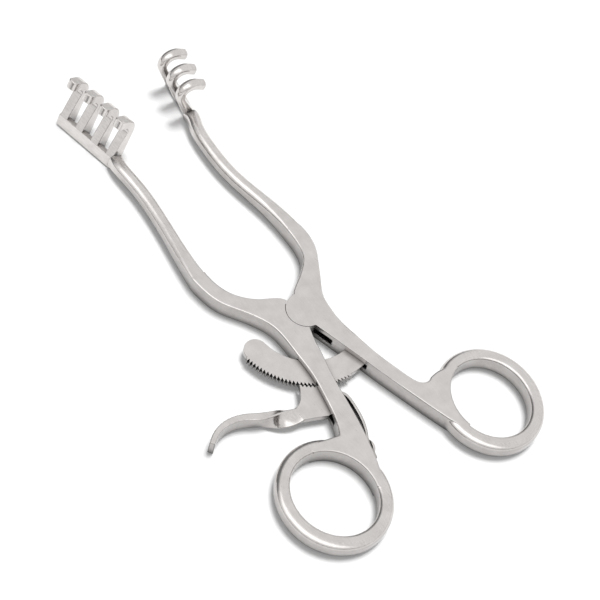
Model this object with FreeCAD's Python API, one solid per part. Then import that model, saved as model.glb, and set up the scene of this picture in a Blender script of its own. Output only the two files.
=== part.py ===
import FreeCAD, Part
import math
import os

# Self retaining retractor, millimetres, in the half-open position.
# X points to the right arm (three prongs), Y to the prongs, Z up with the prongs.
# The hinge axis of the box lock is the Z axis and the flat underside lies at z = 0.

# Driving dimensions
thickness = 5.8
edge_radius = 0.4

lock_radius = 5.65
lock_gap = 0.15
lock_front_angle = 90.0
lock_rear_angle = -98.0
shoulder_front_angle = 119.0
shoulder_rear_angle = -119.0
tongue_thickness = 2.3
tongue_play = 0.05
relief_side = 3.4
relief_end = 11.4
front_relief = (1.6, 7.4)
pivot_radius = 1.8
pin_play = 0.04
pin_skin = 0.7
pin_end_play = 0.05
seat_play = 0.02

ring_radius = 13.0
ring_stretch = 1.3
ring_tilt = 8.0
ring_wire_width = 3.9
ring_wire_height = 5.8
ring_outer_round = 1.8
ring_inner_round = 0.9
left_ring_centre = (-27.9, -48.3)
right_ring_centre = (26.5, -49.8)

arm_width_rear = 4.3
arm_width_front = 4.1
arm_height_front = 5.0
arm_round_rear = 0.6
arm_round_front = 1.95
arm_width_end = 4.5
arm_round_end = 1.2

bar_height = 3.4
prong_pitch = 6.4
prong_root_width = 2.7
prong_tip_width = 3.3
prong_corner = 1.3
prong_round = 0.25
bar_top_width = 1.4
left_prong_count = 4
right_prong_count = 3
left_blade_start = (-16.8, 72.2)
right_blade_start = (17.7, 74.9)
left_splay = 10.5
right_splay = 10.0
blade_lift = 0.2
left_hook = dict(bar_lean=18.0, lean=37.0, back_lean=25.0, rise=9.1, turn=99.0, bend=2.9, wall=2.8,
                 reach=3.7)
right_hook = dict(bar_lean=29.0, lean=29.0, back_lean=22.0, rise=7.3, turn=141.0, bend=3.8, wall=2.4,
                  reach=2.5)

tooth_radius = 23.2
tooth_depth = 0.8
tooth_angle = 2.65
rack_inner_radius = 15.7
rack_thickness = 2.0
rack_start_angle = -172.8
rack_teeth_end_angle = -93.0
rack_seat_angle = -72.5
rack_play = 0.1
slot_gap = 0.35
slot_end = 31.8
slot_width = 16.0
rivet_radius = 0.8
rivet_inset_angle = 4.5

lever_pin_reach = 2.5752
lever_pin_angle = -111.3886
lever_pin_radius = 1.0
pawl_gap = 0.12
pawl_tooth_depth = 0.55
pawl_first_angle = -131.4
pawl_last_angle = -118.0
lever_tab_round = 0.35
lever_tab_height = 4.4
lever_tab_tip_height = 5.4
lever_tab_thickness = 2.2
lever_tab_tip_thickness = 1.5
serration_count = 10
serration_pitch = 1.15
serration_depth = 0.35

spring_thickness = 0.7
spring_height = 3.6
spring_seat_low = (-12.7, -47.0)
spring_seat_high = (-10.5, -39.7)
spring_foot = 1.0
spring_seat_length = 7.2
screw_place = 4.9
screw_head_radius = 2.2
screw_head_height = 1.3
screw_shank_radius = 0.8
screw_length = 3.4
screw_slot_width = 0.5
screw_slot_depth = 0.5
screw_slot_turn = 30.0

# Sizes worked out from the driving dimensions
mid_height = thickness / 2.0
tongue_low = mid_height - tongue_thickness / 2.0
tongue_high = mid_height + tongue_thickness / 2.0
rack_low = mid_height - rack_thickness / 2.0
rack_high = mid_height + rack_thickness / 2.0
slot_low = rack_low - rack_play
slot_high = rack_high + rack_play
recess_radius = lock_radius + lock_gap
tongue_radius = lock_radius - lock_gap
tooth_root_radius = tooth_radius - tooth_depth
rack_middle_radius = (rack_inner_radius + tooth_root_radius) / 2.0
pin_top = thickness - pin_skin
beyond = 1.0
up = FreeCAD.Vector(0, 0, 1)
lever_pin_place = ((tooth_radius + lever_pin_reach) * math.cos(math.radians(lever_pin_angle)),
                   (tooth_radius + lever_pin_reach) * math.sin(math.radians(lever_pin_angle)))


def point(place, z=0.0):
    return FreeCAD.Vector(place[0], place[1], z)


def polar(radius, angle, z=0.0):
    turn = math.radians(angle)
    return FreeCAD.Vector(radius * math.cos(turn), radius * math.sin(turn), z)


def curve(places, z=0.0):
    """Smooth edge through the places, at height z."""
    line = Part.BSplineCurve()
    line.interpolate([point(place, z) for place in places])
    return line.toShape()


def straight(places, z=0.0):
    """Chain of straight edges through the places, at height z."""
    corners = [point(place, z) for place in places]
    return [Part.makeLine(a, b) for a, b in zip(corners, corners[1:])]


def prism(edges, low, high):
    """Solid between two heights over the closed outline that the flat edges make."""
    outline = Part.Wire(Part.__sortEdges__(edges))
    outline.translate(up * low)
    return Part.Face(outline).extrude(up * (high - low))


def cylinder(radius, low, high, place=(0.0, 0.0)):
    return Part.makeCylinder(radius, high - low, point(place, low), up)


def round_flat_edges(solid, radius, low, high, keep=lambda edge: True):
    """Round the edges that lie in the bottom and top planes of a plate."""
    chosen = []
    for edge in solid.Edges:
        box = edge.BoundBox
        flat = box.ZLength < 1e-6
        outer = abs(box.ZMin - low) < 1e-6 or abs(box.ZMin - high) < 1e-6
        if flat and outer and keep(edge):
            chosen.append(edge)
    return solid.makeFillet(radius, chosen)


def rounded_section(centre, across, width, height, radius, lean=0.0):
    """Closed rounded rectangle, width along the flat direction across and height along Z."""
    tilt = math.radians(lean)
    side = across * math.cos(tilt) - up * math.sin(tilt)
    rise = across * math.sin(tilt) + up * math.cos(tilt)
    w = width / 2.0
    h = height / 2.0
    diagonal = radius * (1 - math.sqrt(0.5))

    def at(a, b):
        return centre + side * a + rise * b

    edges = []
    for a_sign, b_sign, swap in ((1, 1, False), (-1, 1, True), (-1, -1, False), (1, -1, True)):
        first = at(a_sign * w, b_sign * (h - radius))
        last = at(a_sign * (w - radius), b_sign * h)
        middle = at(a_sign * (w - diagonal), b_sign * (h - diagonal))
        if swap:
            first, last = last, first
        edges.append(Part.Arc(first, middle, last).toShape())
    joined = []
    for number, edge in enumerate(edges):
        following = edges[(number + 1) % 4]
        joined.append(edge)
        joined.append(Part.makeLine(edge.Vertexes[-1].Point, following.Vertexes[0].Point))
    return Part.Wire(joined)


def finger_ring(centre, side):
    """Ring of rounded wire; side is -1 for the left arm and 1 for the right arm."""
    tilt = math.radians(side * ring_tilt)
    long_way = FreeCAD.Vector(math.sin(tilt), math.cos(tilt), 0)
    middle = point(centre, mid_height)
    path = Part.Ellipse(middle + long_way * (ring_radius + ring_stretch),
                        middle + up.cross(long_way) * ring_radius, middle).toShape()
    start = middle + long_way * (ring_radius + ring_stretch)
    outer = ring_wire_width / 2.0
    high = ring_wire_height / 2.0
    places = [(-outer, high - ring_inner_round), (-outer + ring_inner_round, high),
              (outer - ring_outer_round, high), (outer, high - ring_outer_round),
              (outer, -high + ring_outer_round), (outer - ring_outer_round, -high),
              (-outer + ring_inner_round, -high), (-outer, -high + ring_inner_round)]
    corners = [start + long_way * a + up * b for a, b in places]
    inner_slack = ring_inner_round * (1 - math.sqrt(0.5))
    outer_slack = ring_outer_round * (1 - math.sqrt(0.5))
    bends = [(-outer + inner_slack, high - inner_slack), (outer - outer_slack, high - outer_slack),
             (outer - outer_slack, -high + outer_slack), (-outer + inner_slack, -high + inner_slack)]
    middles = [start + long_way * a + up * b for a, b in bends]
    edges = []
    for number in range(4):
        first = corners[2 * number]
        last = corners[2 * number + 1]
        edges.append(Part.Arc(first, middles[number], last).toShape())
        edges.append(Part.makeLine(last, corners[(2 * number + 2) % 8]))
    return Part.Wire(path).makePipeShell([Part.Wire(edges)], True, True)


def ring_opening(centre, side):
    """Prism through the finger hole of a ring."""
    tilt = math.radians(side * ring_tilt)
    long_way = FreeCAD.Vector(math.sin(tilt), math.cos(tilt), 0)
    middle = point(centre, -beyond)
    inset = ring_wire_width / 2.0
    hole = Part.Ellipse(middle + long_way * ((ring_radius + ring_stretch) - inset),
                        middle + up.cross(long_way) * (ring_radius - inset), middle).toShape()
    return Part.Face(Part.Wire(hole)).extrude(up * (thickness + 2.0 * beyond))


def front_arm(places, hook, side):
    """Arm between the lock and the blade, lofted along its middle line."""
    sections = []
    last = len(places) - 1
    for number, place in enumerate(places):
        before = places[max(number - 1, 0)]
        after = places[min(number + 1, last)]
        way = (point(after) - point(before)).normalize()
        if number == 0:
            way = FreeCAD.Vector(0, 1, 0)
        across = way.cross(up)
        share = min(number / 4.0, 1.0)
        width = arm_width_rear + (arm_width_front - arm_width_rear) * share
        height = thickness + (arm_height_front - thickness) * share
        radius = arm_round_rear + (arm_round_front - arm_round_rear) * min(share * 1.6, 1.0)
        lean = 0.0
        centre_height = mid_height
        if number == last:
            lean = -side * hook["back_lean"] * 0.6
            width = arm_width_end
            height = bar_height * 1.25
            radius = arm_round_end
            centre_height = height / 2.0 + 0.05
        sections.append(rounded_section(point(place, centre_height), across, width, height,
                                        radius, lean))
    return Part.makeLoft(sections, True, False)


def hook_face(hook, origin, outward, bar_only=False):
    """Profile of a prong with the bar below it, or of the bar alone."""
    lean = math.radians(hook["lean"])
    back_lean = math.radians(hook["back_lean"])
    turn = math.radians(hook["turn"])
    bend_inner = hook["bend"] - hook["wall"] / 2.0
    bend_outer = hook["bend"] + hook["wall"] / 2.0

    def at(place):
        return origin + outward * place[0] + up * place[1]

    def facing(angle):
        return (math.cos(angle - lean), -math.sin(angle - lean))

    bar_edge = (-math.tan(math.radians(hook["bar_lean"])) * bar_height, bar_height)
    bend_start = (bar_edge[0] - math.sin(lean) * hook["rise"],
                  bar_edge[1] + math.cos(lean) * hook["rise"])
    centre = (bend_start[0] + facing(0.0)[0] * bend_inner,
              bend_start[1] + facing(0.0)[1] * bend_inner)

    def on_bend(radius, angle):
        way = facing(angle)
        return (centre[0] - way[0] * radius, centre[1] - way[1] * radius)

    back_turn = lean - back_lean
    back_end = on_bend(bend_outer, back_turn)
    back_foot = (back_end[0] + math.tan(back_lean) * back_end[1], 0.0)
    if bar_only:
        back_edge = (bar_edge[0] - bar_top_width, bar_height)
        corners = [(0.0, 0.0), bar_edge, back_edge, back_foot, (0.0, 0.0)]
        return Part.Face(Part.makePolygon([at(corner) for corner in corners]))

    tip = (math.sin(turn - lean) * hook["reach"], math.cos(turn - lean) * hook["reach"])
    convex = on_bend(bend_outer, turn)
    concave = on_bend(bend_inner, turn)
    top = (convex[0] + tip[0], convex[1] + tip[1])
    low = (concave[0] + tip[0], concave[1] + tip[1])
    edges = [
        Part.makeLine(at(back_foot), at(back_end)),
        Part.Arc(at(back_end), at(on_bend(bend_outer, (back_turn + turn) / 2.0)), at(convex)).toShape(),
        Part.makeLine(at(convex), at(top)),
        Part.makeLine(at(top), at(low)),
        Part.makeLine(at(low), at(concave)),
        Part.Arc(at(concave), at(on_bend(bend_inner, turn / 2.0)), at(bend_start)).toShape(),
        Part.makeLine(at(bend_start), at(bar_edge)),
        Part.makeLine(at(bar_edge), at((0.0, 0.0))),
        Part.makeLine(at((0.0, 0.0)), at(back_foot)),
    ]
    return Part.Face(Part.Wire(edges))


def prong(hook, foot, along, outward):
    """Prong that widens from its root to a rounded tip."""
    body = hook_face(hook, foot - along * prong_tip_width, outward)
    body = body.extrude(along * (2.0 * prong_tip_width))
    top = body.BoundBox.ZMax
    root = along * (prong_root_width / 2.0)
    wide = along * (prong_tip_width / 2.0)
    far = outward * top
    corners = [foot - far - root, foot - far + root, foot - far + wide + up * top,
               foot - far - wide + up * top, foot - far - root]
    body = body.common(Part.Face(Part.makePolygon(corners)).extrude(far * 2.0))
    ends = [face for face in body.Faces if is_tip_end(face, along, hook)]
    corner_edges = [edge for edge in ends[0].Edges if not edge_runs_along(edge, along)]
    body = body.makeFillet(prong_corner, corner_edges)
    side_edges = [edge for edge in body.Edges
                  if edge.BoundBox.ZMin > bar_height + 0.5 and not edge_runs_along(edge, along)]
    return body.makeFillet(prong_round, side_edges)


def blade(start, side, splay, count, hook):
    """Bar with its prongs; start is the outer bottom corner at the nearest prong."""
    turn = math.radians(splay)
    along = FreeCAD.Vector(side * math.sin(turn), math.cos(turn), 0)
    outward = FreeCAD.Vector(side * math.cos(turn), -math.sin(turn), 0)
    origin = point(start, blade_lift)
    length = (count - 1) * prong_pitch + prong_tip_width
    body = hook_face(hook, origin, outward, True).extrude(along * length)
    for number in range(count):
        foot = origin + along * (number * prong_pitch + prong_tip_width / 2.0)
        body = body.fuse(prong(hook, foot, along, outward))
    return body


def is_tip_end(face, along, hook):
    """The flat end of a prong: square to the tip and as thick as the wall."""
    normal = face.normalAt(0.0, 0.0)
    angle = math.radians(hook["turn"] - hook["lean"])
    level = abs(abs(normal.dot(up)) - abs(math.cos(angle))) < 1e-3
    corners = [vertex.Point for vertex in face.Vertexes]
    return (face.Surface.TypeId == "Part::GeomPlane" and level and abs(normal.dot(along)) < 1e-3
            and len(corners) == 4)


def edge_runs_along(edge, way):
    first = edge.Vertexes[0].Point
    last = edge.Vertexes[-1].Point
    if (last - first).Length < 1e-6:
        return False
    return abs((last - first).normalize().dot(way)) > 0.999


# Outlines of the flat parts, seen from above
left_outer = [(-21.2, 24.8), (-20.8, 20.3), (-19.2, 14.5), (-15.7, 9.0), (-12.9, 4.4),
              (-11.2, 0.0), (-10.8, -5.0), (-11.0, -10.4), (-11.3, -17.4), (-12.2, -22.5),
              (-13.2, -27.0), (-14.6, -32.0), (-16.8, -36.0)]
left_inner = [polar(tongue_radius, shoulder_front_angle), (-3.9, 6.5), (-8.8, 9.2),
              (-12.2, 11.8), (-14.9, 15.3), (-16.5, 19.8), (-16.9, 24.8)]
left_rear = [spring_seat_high, (-9.4, -35.2), (-7.8, -26.5), (-6.3, -18.9), (-4.4, -11.6),
             (-3.9, -8.6)]
left_ring_root = [(-19.3, -35.4), (-22.4, -34.7), (-25.5, -35.0), left_ring_centre, (-16.0, -53.8)]
left_middle = [(-19.05, 24.8), (-18.6, 30.0), (-17.8, 36.0), (-16.9, 42.0), (-16.1, 48.0),
               (-15.5, 54.0), (-15.25, 60.0), (-15.4, 66.0), (-14.6, 72.6)]

right_inner = [(12.3, 24.3), (11.8, 18.5), (10.4, 14.6), (7.6, 11.5), (4.4, 9.1), (1.3, 7.0),
               polar(lock_radius, lock_front_angle)]
right_outer = [(16.6, 24.3), (16.7, 19.5), (15.6, 15.1), (13.0, 10.4), (9.5, 4.9), (7.3, 1.1),
               (6.5, -2.6), (6.2, -5.8), (6.4, -10.3), (7.1, -14.7), (7.8, -19.5), (8.9, -24.5),
               (10.1, -28.9), (11.2, -32.6), (12.3, -35.0), (13.8, -36.2), (16.0, -35.9)]
right_ridge = [(3.4, -20.1), (5.7, -28.5), (8.1, -36.6), (10.5, -44.4), (11.9, -48.6)]
right_ring_root = [(13.9, -53.5), right_ring_centre, (24.5, -36.0), (21.5, -35.9), (18.6, -35.6)]
right_middle = [(14.45, 24.3), (14.25, 30.0), (13.6, 36.0), (12.6, 42.0), (11.7, 48.0),
                (11.3, 54.0), (11.5, 60.0), (12.1, 66.0), (13.1, 70.4), (14.8, 75.9)]

# Outlines of the release lever, measured from its pin
lever_neck = [(-8.2, 3.1), (-10.0, 1.7), (-11.6, 1.4)]
lever_back = [(-11.6, -2.6), (-9.3, -3.5), (-5.1, -5.3)]
lever_heel = [(-5.1, -5.3), (0.2, -5.0), (1.25, -3.4), (1.5, -1.4), (1.4, 0.5), (0.2, 1.5)]
tab_middle = [(-11.0, -0.6), (-14.2, 0.2), (-17.4, 1.8), (-20.6, 3.7), (-24.1, 5.6), (-27.6, 6.9),
              (-31.0, 7.1), (-34.1, 6.2), (-36.9, 4.3)]
spring_bow = [(-8.6, -36.3), (-7.6, -32.5), (-7.15, -29.2), (-7.25, -27.2), (-7.75, -26.2)]


def pin_hole(place, radius):
    """Blind hole from the underside that leaves the upper face clean."""
    return cylinder(radius + pin_play, -beyond, pin_top, place)


def pin(place, radius):
    """Flush pin from the underside to just under the upper face."""
    return cylinder(radius, 0.0, pin_top - pin_end_play, place)


def from_lever_pin(places):
    return [(lever_pin_place[0] + a, lever_pin_place[1] + b) for a, b in places]


def through(radius, place=(0.0, 0.0)):
    """Cylinder right through the plates."""
    return cylinder(radius, -beyond, thickness + beyond, place)


def shank_slot():
    """Slot through the left shank for the toothed bar and the release lever."""
    left = lever_pin_place[0] - slot_width / 2.0
    right = lever_pin_place[0] + slot_width / 2.0
    corners = [(left, 0.0), (right, 0.0), (right, -slot_end), (left, -slot_end), (left, 0.0)]
    return prism(straight(corners), slot_low, slot_high).cut(through(rack_inner_radius - slot_gap))


def spring_frame():
    """Foot, direction and outward normal of the flat on which the leaf spring is screwed."""
    low = point(spring_seat_low)
    way = (point(spring_seat_high) - low).normalize()
    return low, way, way.cross(up)


def screw_centre():
    low, way, out = spring_frame()
    return low + way * screw_place + up * mid_height


def left_arm():
    edges = [curve(left_outer), curve(left_inner), curve(left_rear)]
    edges += straight([left_outer[0], left_inner[-1]])
    edges += straight([left_outer[-1]] + left_ring_root + [spring_seat_low, spring_seat_high])
    edges += straight([left_rear[-1], polar(tongue_radius, shoulder_rear_angle), left_inner[0]])
    plate = prism(edges, 0.0, thickness)
    plate = round_flat_edges(plate, edge_radius, 0.0, thickness,
                             lambda edge: edge.Curve.TypeId == "Part::GeomBSplineCurve"
                             and edge.BoundBox.XMax < left_rear[-1][0] + edge_radius)
    plate = plate.cut(ring_opening(left_ring_centre, -1))
    body = plate.fuse(finger_ring(left_ring_centre, -1))
    body = body.fuse(front_arm(left_middle, left_hook, -1))
    body = body.fuse(blade(left_blade_start, -1, left_splay, left_prong_count, left_hook))
    body = body.cut(cylinder(recess_radius, tongue_high, thickness + beyond))
    body = body.cut(cylinder(recess_radius, -beyond, tongue_low))
    body = body.fuse(cylinder(tongue_radius, tongue_low, tongue_high))
    body = body.cut(through(pivot_radius + pin_play))
    body = body.cut(shank_slot())
    body = body.cut(pin_hole(lever_pin_place, lever_pin_radius))
    low, way, out = spring_frame()
    drill = Part.makeCylinder(screw_shank_radius + pin_play, screw_length + beyond,
                              screw_centre() - out * (screw_length + pin_end_play), out)
    return body.cut(drill)


def right_arm():
    rim = [polar(lock_radius, angle) for angle in (lock_front_angle, 180.0, lock_rear_angle)]
    edges = [curve(right_inner), Part.Arc(*rim).toShape(), curve(right_outer)]
    edges.append(Part.makeLine(rim[2], point(right_ridge[0])))
    edges.append(curve(right_ridge))
    edges += straight([right_ridge[-1]] + right_ring_root + [right_outer[-1]])
    edges += straight([right_inner[0], right_outer[0]])
    plate = prism(edges, 0.0, thickness)
    plate = round_flat_edges(plate, edge_radius, 0.0, thickness,
                             lambda edge: edge.Curve.TypeId == "Part::GeomBSplineCurve"
                             and edge.BoundBox.YMax > lock_radius)
    plate = plate.cut(ring_opening(right_ring_centre, 1))
    body = plate.fuse(finger_ring(right_ring_centre, 1))
    body = body.fuse(front_arm(right_middle, right_hook, 1))
    body = body.fuse(blade(right_blade_start, 1, right_splay, right_prong_count, right_hook))
    body = body.cut(cylinder(recess_radius, tongue_low - tongue_play, tongue_high + tongue_play))
    body = body.cut(pocket_relief())
    body = body.cut(rack_seat())
    body = body.cut(pin_hole((0.0, 0.0), pivot_radius))
    for place in rivet_places():
        body = body.cut(pin_hole(place, rivet_radius))
    return body


def pocket_relief():
    """Milled run-outs of the lock pocket, down the inner wall of the shank and to the front."""
    corners = [(-lock_radius, 0.0), (0.0, 0.0), (0.0, front_relief[1]), front_relief,
               (front_relief[0], 0.0), (relief_side, 0.0), (relief_side, -relief_end),
               (-lock_radius, -relief_end), (-lock_radius, 0.0)]
    return prism(straight(corners), tongue_low - tongue_play, tongue_high + tongue_play)


def ring_sector(inner, outer, first, last, low, high):
    """Flat piece of a ring round the hinge axis, between two angles."""
    middle = (first + last) / 2.0
    edges = [Part.Arc(polar(outer, first), polar(outer, middle), polar(outer, last)).toShape(),
             Part.Arc(polar(inner, first), polar(inner, middle), polar(inner, last)).toShape(),
             Part.makeLine(polar(inner, first), polar(outer, first)),
             Part.makeLine(polar(inner, last), polar(outer, last))]
    return prism(edges, low, high)


def rack_seat():
    """Slot in the right shank that seats the end of the toothed bar."""
    return ring_sector(rack_inner_radius - seat_play, tooth_radius + seat_play, rack_start_angle,
                       rack_seat_angle, rack_low - seat_play, rack_high + seat_play)


def rivet_places():
    """A quarter and three quarters of the way across the bar."""
    angle = rack_seat_angle - rivet_inset_angle
    bar_width = tooth_root_radius - rack_inner_radius
    return [polar(rack_inner_radius + share * bar_width, angle) for share in (0.25, 0.75)]


def tooth(angle):
    """Saw tooth of the bar that starts at this angle."""
    foot = tooth_root_radius - tooth_depth / 4.0
    corners = [polar(foot, angle), polar(tooth_root_radius, angle),
               polar(tooth_radius, angle + tooth_angle * 0.62),
               polar(tooth_radius, angle + tooth_angle * 0.82),
               polar(tooth_root_radius, angle + tooth_angle * 0.96),
               polar(foot, angle + tooth_angle * 0.96)]
    corners.append(corners[0])
    return prism(straight(corners), rack_low, rack_high)


def toothed_bar():
    """Curved bar with its row of teeth on the outer side."""
    round_radius = (tooth_root_radius - rack_inner_radius) / 2.0
    nose = cylinder(round_radius, rack_low, rack_high, polar(rack_middle_radius, rack_start_angle))
    seat_angle = rack_seat_angle - math.degrees(seat_play / rack_middle_radius)
    bar = ring_sector(rack_inner_radius, tooth_root_radius, rack_start_angle, seat_angle,
                      rack_low, rack_high)
    count = int((rack_teeth_end_angle - rack_start_angle) / tooth_angle)
    teeth = [tooth(rack_start_angle + number * tooth_angle) for number in range(count)]
    bar = bar.fuse([nose] + teeth)
    for place in rivet_places():
        bar = bar.cut(through(rivet_radius + pin_play, place))
    return bar.removeSplitter()


def thumb_tab():
    """Tab that twists from the flat of the lever plate to a standing thumb rest."""
    sections = []
    middle = from_lever_pin(tab_middle)
    last = len(middle) - 1
    twist_steps = 3
    for number, place in enumerate(middle):
        before = middle[max(number - 1, 0)]
        after = middle[min(number + 1, last)]
        across = (point(after) - point(before)).normalize().cross(up)
        share = min(number / float(twist_steps), 1.0)
        thin = max(number - twist_steps, 0) / float(last - twist_steps)
        width = lever_tab_thickness + (lever_tab_tip_thickness - lever_tab_thickness) * thin
        width = rack_thickness + (width - rack_thickness) * share
        height = lever_tab_height + (lever_tab_tip_height - lever_tab_height) * number / last
        sections.append(rounded_section(point(place, mid_height), across, width, height,
                                        lever_tab_round, 90.0 * (1.0 - share)))
    return Part.makeLoft(sections, True, False)


def serrations():
    """Grooves across the thumb side of the tab, near its tip."""
    line = Part.BSplineCurve()
    line.interpolate([point(place) for place in from_lever_pin(tab_middle)])
    cuts = []
    for number in range(serration_count):
        parameter = line.parameterAtDistance(line.length() - (number + 0.8) * serration_pitch)
        here = line.value(parameter)
        way = line.tangent(parameter)[0]
        out = way.cross(up)
        share = number / float(serration_count - 1)
        half = (lever_tab_tip_thickness + (lever_tab_thickness - lever_tab_tip_thickness) * share) / 2.0
        bottom = here + out * (half - serration_depth)
        rim = here + out * (half + serration_depth)
        spread = way * (serration_pitch / 2.0)
        cuts.append(prism(straight([bottom, rim - spread, rim + spread, bottom]),
                          -beyond, thickness + beyond))
    return cuts


def notch(angle):
    """Gap between two teeth of the pawl, at this angle."""
    foot = tooth_radius + pawl_gap - tooth_depth / 4.0
    top = tooth_radius + pawl_gap + pawl_tooth_depth
    corners = [polar(foot, angle - tooth_angle * 0.05), polar(top, angle + tooth_angle * 0.45),
               polar(top, angle + tooth_angle * 0.6), polar(foot, angle + tooth_angle * 0.85)]
    corners.append(corners[0])
    return prism(straight(corners), -beyond, thickness + beyond)


def release_lever():
    """Pawl plate in the shank slot, with its thumb tab."""
    pawl = tooth_radius + pawl_gap
    edge = [polar(pawl, pawl_first_angle), polar(pawl, (pawl_first_angle + pawl_last_angle) / 2.0),
            polar(pawl, pawl_last_angle)]
    neck = [edge[0]] + from_lever_pin(lever_neck)
    back = from_lever_pin(lever_back)
    edges = [curve(neck), curve(back), Part.Arc(*edge).toShape()]
    edges += straight([neck[-1], back[0]])
    edges += straight(from_lever_pin(lever_heel) + [edge[2]])
    plate = prism(edges, rack_low, rack_high)
    count = int((pawl_last_angle - pawl_first_angle) / tooth_angle)
    plate = plate.cut([notch(pawl_first_angle + (number + 0.35) * tooth_angle)
                       for number in range(count)])
    body = plate.fuse(thumb_tab())
    body = body.cut(serrations())
    body = body.cut(through(lever_pin_radius + pin_play, lever_pin_place))
    return body.removeSplitter()


def leaf_spring():
    """Leaf spring along the inner side of the left shank, pressing on the heel of the lever."""
    low, way, out = spring_frame()
    foot = low + way * spring_foot + out * seat_play
    seat_end = low + way * spring_seat_length + out * seat_play
    bow = Part.BSplineCurve()
    bow.interpolate([seat_end] + [point(place) for place in spring_bow])
    steps = 14
    outside = []
    for number in range(steps + 1):
        parameter = bow.FirstParameter + (bow.LastParameter - bow.FirstParameter) * number / steps
        side = bow.tangent(parameter)[0].cross(up)
        outside.append(bow.value(parameter) + side * spring_thickness)
    outer = Part.BSplineCurve()
    outer.interpolate(outside)
    foot_outer = foot + out * spring_thickness
    edges = [Part.makeLine(foot, seat_end), bow.toShape(),
             Part.makeLine(bow.EndPoint, outer.EndPoint), outer.toShape(),
             Part.makeLine(outer.StartPoint, foot_outer), Part.makeLine(foot_outer, foot)]
    half = spring_height / 2.0
    leaf = prism(edges, mid_height - half, mid_height + half)
    return leaf.cut(Part.makeCylinder(screw_shank_radius + pin_play, 2.0 * beyond,
                                      screw_centre() - out * (beyond / 2.0), out))


def spring_screw():
    """Slotted screw with a domed head that holds the leaf spring."""
    low, way, out = spring_frame()
    seat = screw_centre() + out * (seat_play + spring_thickness + seat_play)
    dome_radius = (screw_head_radius ** 2 + screw_head_height ** 2) / (2.0 * screw_head_height)
    head = Part.makeSphere(dome_radius, seat + out * (screw_head_height - dome_radius))
    head = head.common(Part.makeCylinder(screw_head_radius, screw_head_height, seat, out))
    shank = Part.makeCylinder(screw_shank_radius, screw_length, seat - out * screw_length, out)
    turn = math.radians(screw_slot_turn)
    along = way * math.cos(turn) + up * math.sin(turn)
    across = out.cross(along) * (screw_slot_width / 2.0)
    floor = seat + out * (screw_head_height - screw_slot_depth)
    reach = along * screw_head_radius
    corners = [floor - reach - across, floor + reach - across, floor + reach + across,
               floor - reach + across, floor - reach - across]
    slot = Part.Face(Part.makePolygon(corners)).extrude(out * screw_head_height)
    return head.fuse(shank).cut(slot).removeSplitter()


def build():
    rivets = [pin(place, rivet_radius) for place in rivet_places()]
    parts = {
        "left_arm": left_arm(),
        "right_arm": right_arm(),
        "pivot_pin": pin((0.0, 0.0), pivot_radius),
        "toothed_bar": toothed_bar(),
        "toothed_bar_rivets": Part.makeCompound(rivets),
        "release_lever": release_lever(),
        "lever_pin": pin(lever_pin_place, lever_pin_radius),
        "leaf_spring": leaf_spring(),
        "spring_screw": spring_screw(),
    }
    os.makedirs("parts", exist_ok=True)
    for name, shape in parts.items():
        print(name, len(shape.Solids), "solids, valid", shape.isValid(), round(shape.Volume, 2))
        shape.exportStep("parts/" + name + ".step")


build()
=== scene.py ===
import math

import bpy
from mathutils import Matrix, Vector

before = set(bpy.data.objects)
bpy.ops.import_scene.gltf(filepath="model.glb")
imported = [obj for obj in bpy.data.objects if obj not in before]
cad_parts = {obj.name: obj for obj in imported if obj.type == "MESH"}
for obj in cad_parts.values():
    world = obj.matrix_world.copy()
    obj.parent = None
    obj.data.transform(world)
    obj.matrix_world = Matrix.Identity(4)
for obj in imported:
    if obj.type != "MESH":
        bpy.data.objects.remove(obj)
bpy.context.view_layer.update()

WHITE = (1.0, 1.0, 1.0, 1.0)

# The camera as fitted to the photograph. Its target plane lies above the underside of the arms
CAMERA_AZIMUTH = math.radians(-52.02)
CAMERA_ELEVATION = math.radians(55.16)
CAMERA_ROLL = math.radians(17.07)
PICTURE_PX = 600.0
FOCAL_PX = 1368.41
CENTRE_PX = (301.26, 323.06)
M_PER_PX = 0.000282
TARGET_HEIGHT = 0.00157
SENSOR_MM = 36.0
CLIP_START = 0.01

# How bright the studio looks in the metal, by the direction of the reflected ray: light above,
# dark low down except on the far side (+X), and darker again far out towards the prongs (+Y)
SKY_LEVEL = 0.95
SKY_DARK = 0.12
SKY_HEIGHT = (0.02, 0.16)
FAR_SHARE = 0.70
FAR_SIDE = (-0.2, 0.3)
PRONG_SHARE = 0.25
PRONG_SIDE = (0.58, 0.85)
# A soft light high over the near side (-X) draws the bright lines on the rounded arms
CREST_EXTRA = 0.80
CREST_HEIGHT = (0.45, 0.65)
CREST_SIDE = (-0.25, 0.0)
CREST_END = (0.50, 0.62)

# What lights the floor, and how the floor shows
KEY_FROM = (0.22, 0.06, 1.0)
KEY_ANGLE = math.radians(20.0)
KEY_LEVEL = 0.88
SURROUND_LEVEL = 0.40
FLOOR_COLOUR = (0.92, 0.92, 0.92, 1.0)
FLOOR_GLOW = 1.05
FLOOR_GLOW_SEEN = 0.12
FLOOR_GLOW_REFLECTED = 0.10
FLOOR_REACH = 4.0
FLOOR_HEIGHT = -0.0003

# Where along Y the stretches of the instrument begin and end: rings, front arms, blades
RINGS_END = (-0.036, -0.030)
FRONT_START = (0.008, 0.020)
BLADES_START = (0.064, 0.070)

# Upright share of the normal (|Z|) that counts as flat face, as wall, and as steep wall
FACE_SHARE = (0.93, 0.995)
WALL_SHARE = (0.1, 0.7)
STEEP_SHARE = (0.05, 0.3)

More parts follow.
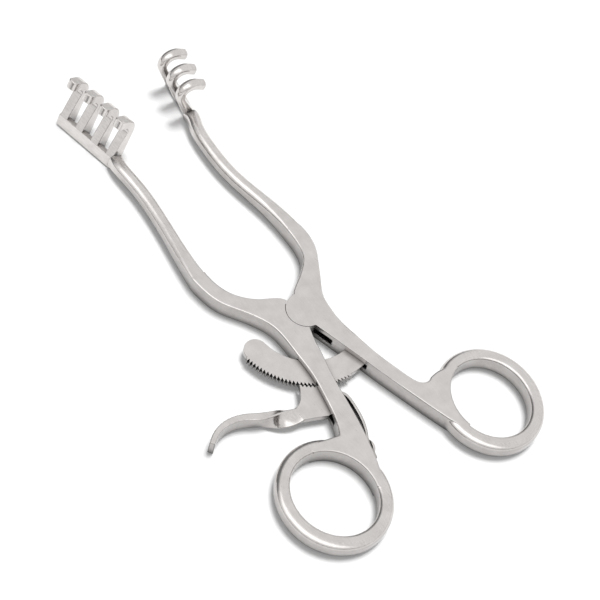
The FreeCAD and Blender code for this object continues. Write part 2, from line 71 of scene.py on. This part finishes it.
# Painted shade: the walls get a darker colour than the satin faces, and the corners and sharp edges get a
# darker colour too
WALL_SHADE_TONE = 0.64
STREAK_TONES = (0.91, 1.05)
GRAIN_TONES = (0.97, 1.025)
BRUSH_SPREAD = (0.3, 0.7)
BRUSH_DETAIL = 4.0
CLOUD_SCALE = 260.0
CLOUD_DETAIL = 5.0
CLOUD_ROUGHNESS = 0.6
CLOUD_SPREAD = (0.25, 0.75)
CORNER_SHADE_TONE = 0.20
CORNER_REACH = 0.004
CORNER_OPENNESS = (0.12, 0.85)
CORNER_SAMPLES = 8
EDGE_SHADE_TONE = 0.25
EDGE_WIDTH = 0.0007
EDGE_TURN = (0.86, 0.99)
EDGE_SAMPLES = 12
# Shading radius of the edges: crisp, and well rounded on the rings and the front arms
EDGE_RADIUS = 0.00014
WORN_RADIUS = 0.0009
POLISHED_ROUGHNESS = 0.15
BUMP_POLISHED = 0.03
BUMP_SATIN = 0.12
BUMP_HEIGHT = 0.00002


class Graph:
    """Node tree of a material or of the world, with the few kinds of steps used here."""

    def __init__(self, owner):
        owner.use_nodes = True
        self.nodes = owner.node_tree.nodes
        self.links = owner.node_tree.links

    def add(self, kind, **settings):
        node = self.nodes.new("ShaderNode" + kind)
        for name, value in settings.items():
            setattr(node, name, value)
        return node

    def put(self, node, **inputs):
        """Fill inputs, named with _ for a space, from numbers, colours or outputs."""
        for name, source in inputs.items():
            self.fill(node.inputs[name.replace("_", " ")], source)
        return node

    def fill(self, target, source):
        if isinstance(source, bpy.types.NodeSocket):
            self.links.new(source, target)
        else:
            target.default_value = source

    def math(self, operation, first, second):
        node = self.add("Math", operation=operation)
        self.fill(node.inputs[0], first)
        self.fill(node.inputs[1], second)
        return node.outputs[0]

    def span(self, value, bounds, at_low, at_high, interpolation_type="LINEAR"):
        """Turns the stretch between two bounds into the one between two levels."""
        node = self.add("MapRange", interpolation_type=interpolation_type)
        low, high = bounds
        self.put(node, Value=value, From_Min=low, From_Max=high, To_Min=at_low, To_Max=at_high)
        return node.outputs["Result"]

    def fade(self, value, bounds, at_low, at_high):
        return self.span(value, bounds, at_low, at_high, "SMOOTHSTEP")

    def blend(self, factor, first, second):
        node = self.put(self.add("Mix", data_type="FLOAT"), Factor=factor, A=first, B=second)
        return node.outputs["Result"]

    def axes(self, vector):
        node = self.put(self.add("SeparateXYZ"), Vector=vector)
        return [node.outputs[axis] for axis in "XYZ"]

    def seen_directly(self):
        """1 for camera, glossy and transmission rays, 0 for the rest."""
        path = self.add("LightPath")
        total = path.outputs["Is Camera Ray"]
        for name in ("Is Glossy Ray", "Is Transmission Ray"):
            total = self.math("MAXIMUM", total, path.outputs[name])
        return total

    def finish(self, output, share, first, second):
        """Mixes two shaders by a share and gives the result to the output."""
        mix = self.add("MixShader")
        for target, source in zip(mix.inputs, (share, first.outputs[0], second.outputs[0])):
            self.fill(target, source)
        self.put(self.add(output), Surface=mix.outputs[0])


def photo_camera():
    """The camera, placed as the photograph was taken."""
    back = Vector((math.sin(CAMERA_AZIMUTH) * math.cos(CAMERA_ELEVATION),
                   -math.cos(CAMERA_AZIMUTH) * math.cos(CAMERA_ELEVATION),
                   math.sin(CAMERA_ELEVATION)))
    level_right = Vector((math.cos(CAMERA_AZIMUTH), math.sin(CAMERA_AZIMUTH), 0.0))
    level_up = back.cross(level_right)
    right = level_right * math.cos(CAMERA_ROLL) + level_up * math.sin(CAMERA_ROLL)
    up = level_up * math.cos(CAMERA_ROLL) - level_right * math.sin(CAMERA_ROLL)
    middle_px = PICTURE_PX / 2
    to_right = (CENTRE_PX[0] - middle_px) / FOCAL_PX
    to_up = -(CENTRE_PX[1] - middle_px) / FOCAL_PX
    distance = M_PER_PX * FOCAL_PX
    place = (back - right * to_right - up * to_up) * distance - Vector((0.0, 0.0, TARGET_HEIGHT))
    data = bpy.data.cameras.new("photo_camera")
    data.sensor_width = SENSOR_MM
    data.lens = FOCAL_PX / PICTURE_PX * SENSOR_MM
    data.clip_start = CLIP_START
    camera = bpy.data.objects.new("photo_camera", data)
    camera.matrix_world = Matrix.Translation(place) @ Matrix((right, up, back)).transposed().to_4x4()
    bpy.context.scene.collection.objects.link(camera)
    bpy.context.scene.camera = camera


def studio_world():
    """White to the camera; in the metal a light sky with a dark horizon; plain for the floor."""
    world = bpy.data.worlds.new("studio")
    bpy.context.scene.world = world
    graph = Graph(world)
    graph.nodes.clear()
    x, y, z = graph.axes(graph.add("TexCoord").outputs["Generated"])
    lit = graph.math("MAXIMUM", graph.fade(z, SKY_HEIGHT, SKY_DARK, SKY_LEVEL),
                     graph.fade(x, FAR_SIDE, 0.0, SKY_LEVEL * FAR_SHARE))
    shaded = graph.math("MULTIPLY", lit, graph.fade(y, PRONG_SIDE, 1.0, PRONG_SHARE))
    crest = graph.math("MULTIPLY", graph.fade(z, CREST_HEIGHT, 0.0, CREST_EXTRA),
                       graph.fade(x, CREST_SIDE, 1.0, 0.0))
    crest = graph.math("MULTIPLY", crest, graph.fade(y, CREST_END, 1.0, 0.0))
    sky = graph.math("ADD", shaded, crest)
    level = graph.blend(graph.add("LightPath").outputs["Is Camera Ray"], sky, 1.0)
    plain = graph.put(graph.add("Background"), Color=WHITE, Strength=SURROUND_LEVEL)
    shown = graph.put(graph.add("Background"), Color=WHITE, Strength=level)
    graph.finish("OutputWorld", graph.seen_directly(), plain, shown)


def paper_floor():
    """White floor just under the instrument; it keeps the shadow."""
    material = bpy.data.materials.new("floor_paper")
    graph = Graph(material)
    graph.nodes.clear()
    paper = graph.put(graph.add("BsdfDiffuse"), Color=FLOOR_COLOUR)
    glow = graph.put(graph.add("Emission"), Color=WHITE, Strength=FLOOR_GLOW)
    reflected = graph.math("MULTIPLY", graph.seen_directly(), FLOOR_GLOW_REFLECTED)
    seen = graph.math("MULTIPLY", graph.add("LightPath").outputs["Is Camera Ray"], FLOOR_GLOW_SEEN)
    graph.finish("OutputMaterial", graph.math("MAXIMUM", reflected, seen), paper, glow)

    mesh = bpy.data.meshes.new("floor")
    corners = [(x * FLOOR_REACH, y * FLOOR_REACH, 0) for x, y in ((-1, -1), (1, -1), (1, 1), (-1, 1))]
    mesh.from_pydata(corners, [], [(0, 1, 2, 3)])
    mesh.materials.append(material)
    floor = bpy.data.objects.new("floor", mesh)
    floor.location = (0.0, 0.0, FLOOR_HEIGHT)
    bpy.context.scene.collection.objects.link(floor)


def key_light():
    """Soft light from almost overhead; the metal doesn't mirror it, the floor shows its shadow."""
    data = bpy.data.lights.new("key", "SUN")
    data.angle = KEY_ANGLE
    data.energy = KEY_LEVEL * math.pi
    key = bpy.data.objects.new("key", data)
    key.visible_glossy = False
    key.location = KEY_FROM
    key.rotation_euler = (-Vector(KEY_FROM)).to_track_quat("-Z", "Y").to_euler()
    bpy.context.scene.collection.objects.link(key)


def steel(name, dark, light, roughness, spread, grain, stretch):
    """Steel with satin faces and smoother walls, with painted shade darkening the walls, corners and sharp
    edges.

    The colour is cloudy between dark and light, and a fine brushed grain, drawn out along the
    small numbers of stretch, varies the colour, the roughness and the bump.
    """
    material = bpy.data.materials.new(name)
    graph = Graph(material)
    coords = graph.add("TexCoord")
    shape = graph.add("NewGeometry")
    along = graph.axes(coords.outputs["Object"])[1]
    normal_z = graph.axes(shape.outputs["Normal"])[2]
    upright = graph.math("ABSOLUTE", normal_z, 0.0)
    faceness = graph.span(upright, FACE_SHARE, 0.0, 1.0)
    blades = graph.span(along, BLADES_START, 0.0, 1.0)

    cloud = graph.put(graph.add("TexNoise"), Vector=coords.outputs["Object"], Scale=CLOUD_SCALE,
                      Detail=CLOUD_DETAIL, Roughness=CLOUD_ROUGHNESS)
    patches = graph.span(cloud.outputs["Fac"], CLOUD_SPREAD, 0.0, 1.0)
    tone = graph.put(graph.add("Mix", data_type="RGBA"), Factor=patches, A=dark + (1.0,), B=light + (1.0,))
    drawn = graph.put(graph.add("Mapping"), Vector=coords.outputs["Object"], Scale=stretch)
    brush = graph.put(graph.add("TexNoise"), Vector=drawn.outputs["Vector"], Scale=grain,
                      Detail=BRUSH_DETAIL).outputs["Fac"]
    streaks = graph.blend(faceness, graph.span(brush, BRUSH_SPREAD, *STREAK_TONES),
                          graph.span(brush, BRUSH_SPREAD, *GRAIN_TONES))

    # Painted shade: the steep walls are darker in the colour than the faces, except on the blades
    wall_shade = graph.blend(blades, graph.span(upright, WALL_SHARE, WALL_SHADE_TONE, 1.0), 1.0)
    # Painted shade: corners and hollows are darkened in the colour by their occlusion
    corner = graph.put(graph.add("AmbientOcclusion", samples=CORNER_SAMPLES), Distance=CORNER_REACH)
    corner_shade = graph.span(corner.outputs["AO"], CORNER_OPENNESS, CORNER_SHADE_TONE, 1.0)
    # Painted shade: a dark line in the colour along the sharp edges of the steep walls
    rim = graph.put(graph.add("Bevel", samples=EDGE_SAMPLES), Radius=EDGE_WIDTH)
    turn = graph.add("VectorMath", operation="DOT_PRODUCT")
    graph.fill(turn.inputs[0], rim.outputs["Normal"])
    graph.fill(turn.inputs[1], shape.outputs["Normal"])
    steep = graph.span(upright, STEEP_SHARE, 0.0, 1.0)
    edge_shade = graph.blend(steep, graph.span(turn.outputs["Value"], EDGE_TURN, EDGE_SHADE_TONE, 1.0), 1.0)
    # The colour carries the grain and the painted shade of walls, corners and edges
    shares = graph.math("MULTIPLY", graph.math("MULTIPLY", wall_shade, streaks),
                        graph.math("MULTIPLY", corner_shade, edge_shade))
    colour = graph.put(graph.add("VectorMath", operation="SCALE"), Vector=tone.outputs["Result"],
                       Scale=shares)

    rings = graph.span(along, RINGS_END, 1.0, 0.0)
    front = graph.math("MULTIPLY", graph.span(along, FRONT_START, 0.0, 1.0),
                       graph.span(along, BLADES_START, 1.0, 0.0))
    radius = graph.blend(graph.math("MAXIMUM", rings, front), EDGE_RADIUS, WORN_RADIUS)
    edge = graph.put(graph.add("Bevel", samples=EDGE_SAMPLES), Radius=radius)
    bump = graph.put(graph.add("Bump"), Strength=graph.span(faceness, (0.0, 1.0), BUMP_POLISHED, BUMP_SATIN),
                     Distance=BUMP_HEIGHT, Height=brush, Normal=edge.outputs["Normal"])
    satin_roughness = graph.span(brush, (0.0, 1.0), roughness - spread, roughness + spread)

    graph.put(graph.nodes["Principled BSDF"], Metallic=1.0, Base_Color=colour.outputs["Vector"],
              Roughness=graph.blend(faceness, POLISHED_ROUGHNESS, satin_roughness),
              Normal=bump.outputs["Normal"])
    return material


def dress(node, material):
    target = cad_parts[node]
    target.data.materials.clear()
    target.data.materials.append(material)


photo_camera()
studio_world()
paper_floor()
key_light()

satin = steel("satin_steel", dark=(0.60, 0.575, 0.56), light=(0.71, 0.685, 0.67),
              roughness=0.30, spread=0.06, grain=2600.0, stretch=(1.0, 0.12, 1.0))
plain = steel("plain_steel", dark=(0.61, 0.585, 0.57), light=(0.73, 0.705, 0.69),
              roughness=0.34, spread=0.06, grain=3000.0, stretch=(1.0, 1.0, 1.0))
spring = steel("spring_steel", dark=(0.55, 0.53, 0.51), light=(0.66, 0.64, 0.62),
               roughness=0.24, spread=0.05, grain=3000.0, stretch=(1.0, 0.1, 1.0))
for node in ("left_arm", "right_arm", "release_lever"):
    dress(node, satin)
for node in ("toothed_bar", "toothed_bar_rivets", "pivot_pin", "lever_pin", "spring_screw"):
    dress(node, plain)
dress("leaf_spring", spring)

scene = bpy.context.scene
scene.view_settings.view_transform = "Standard"
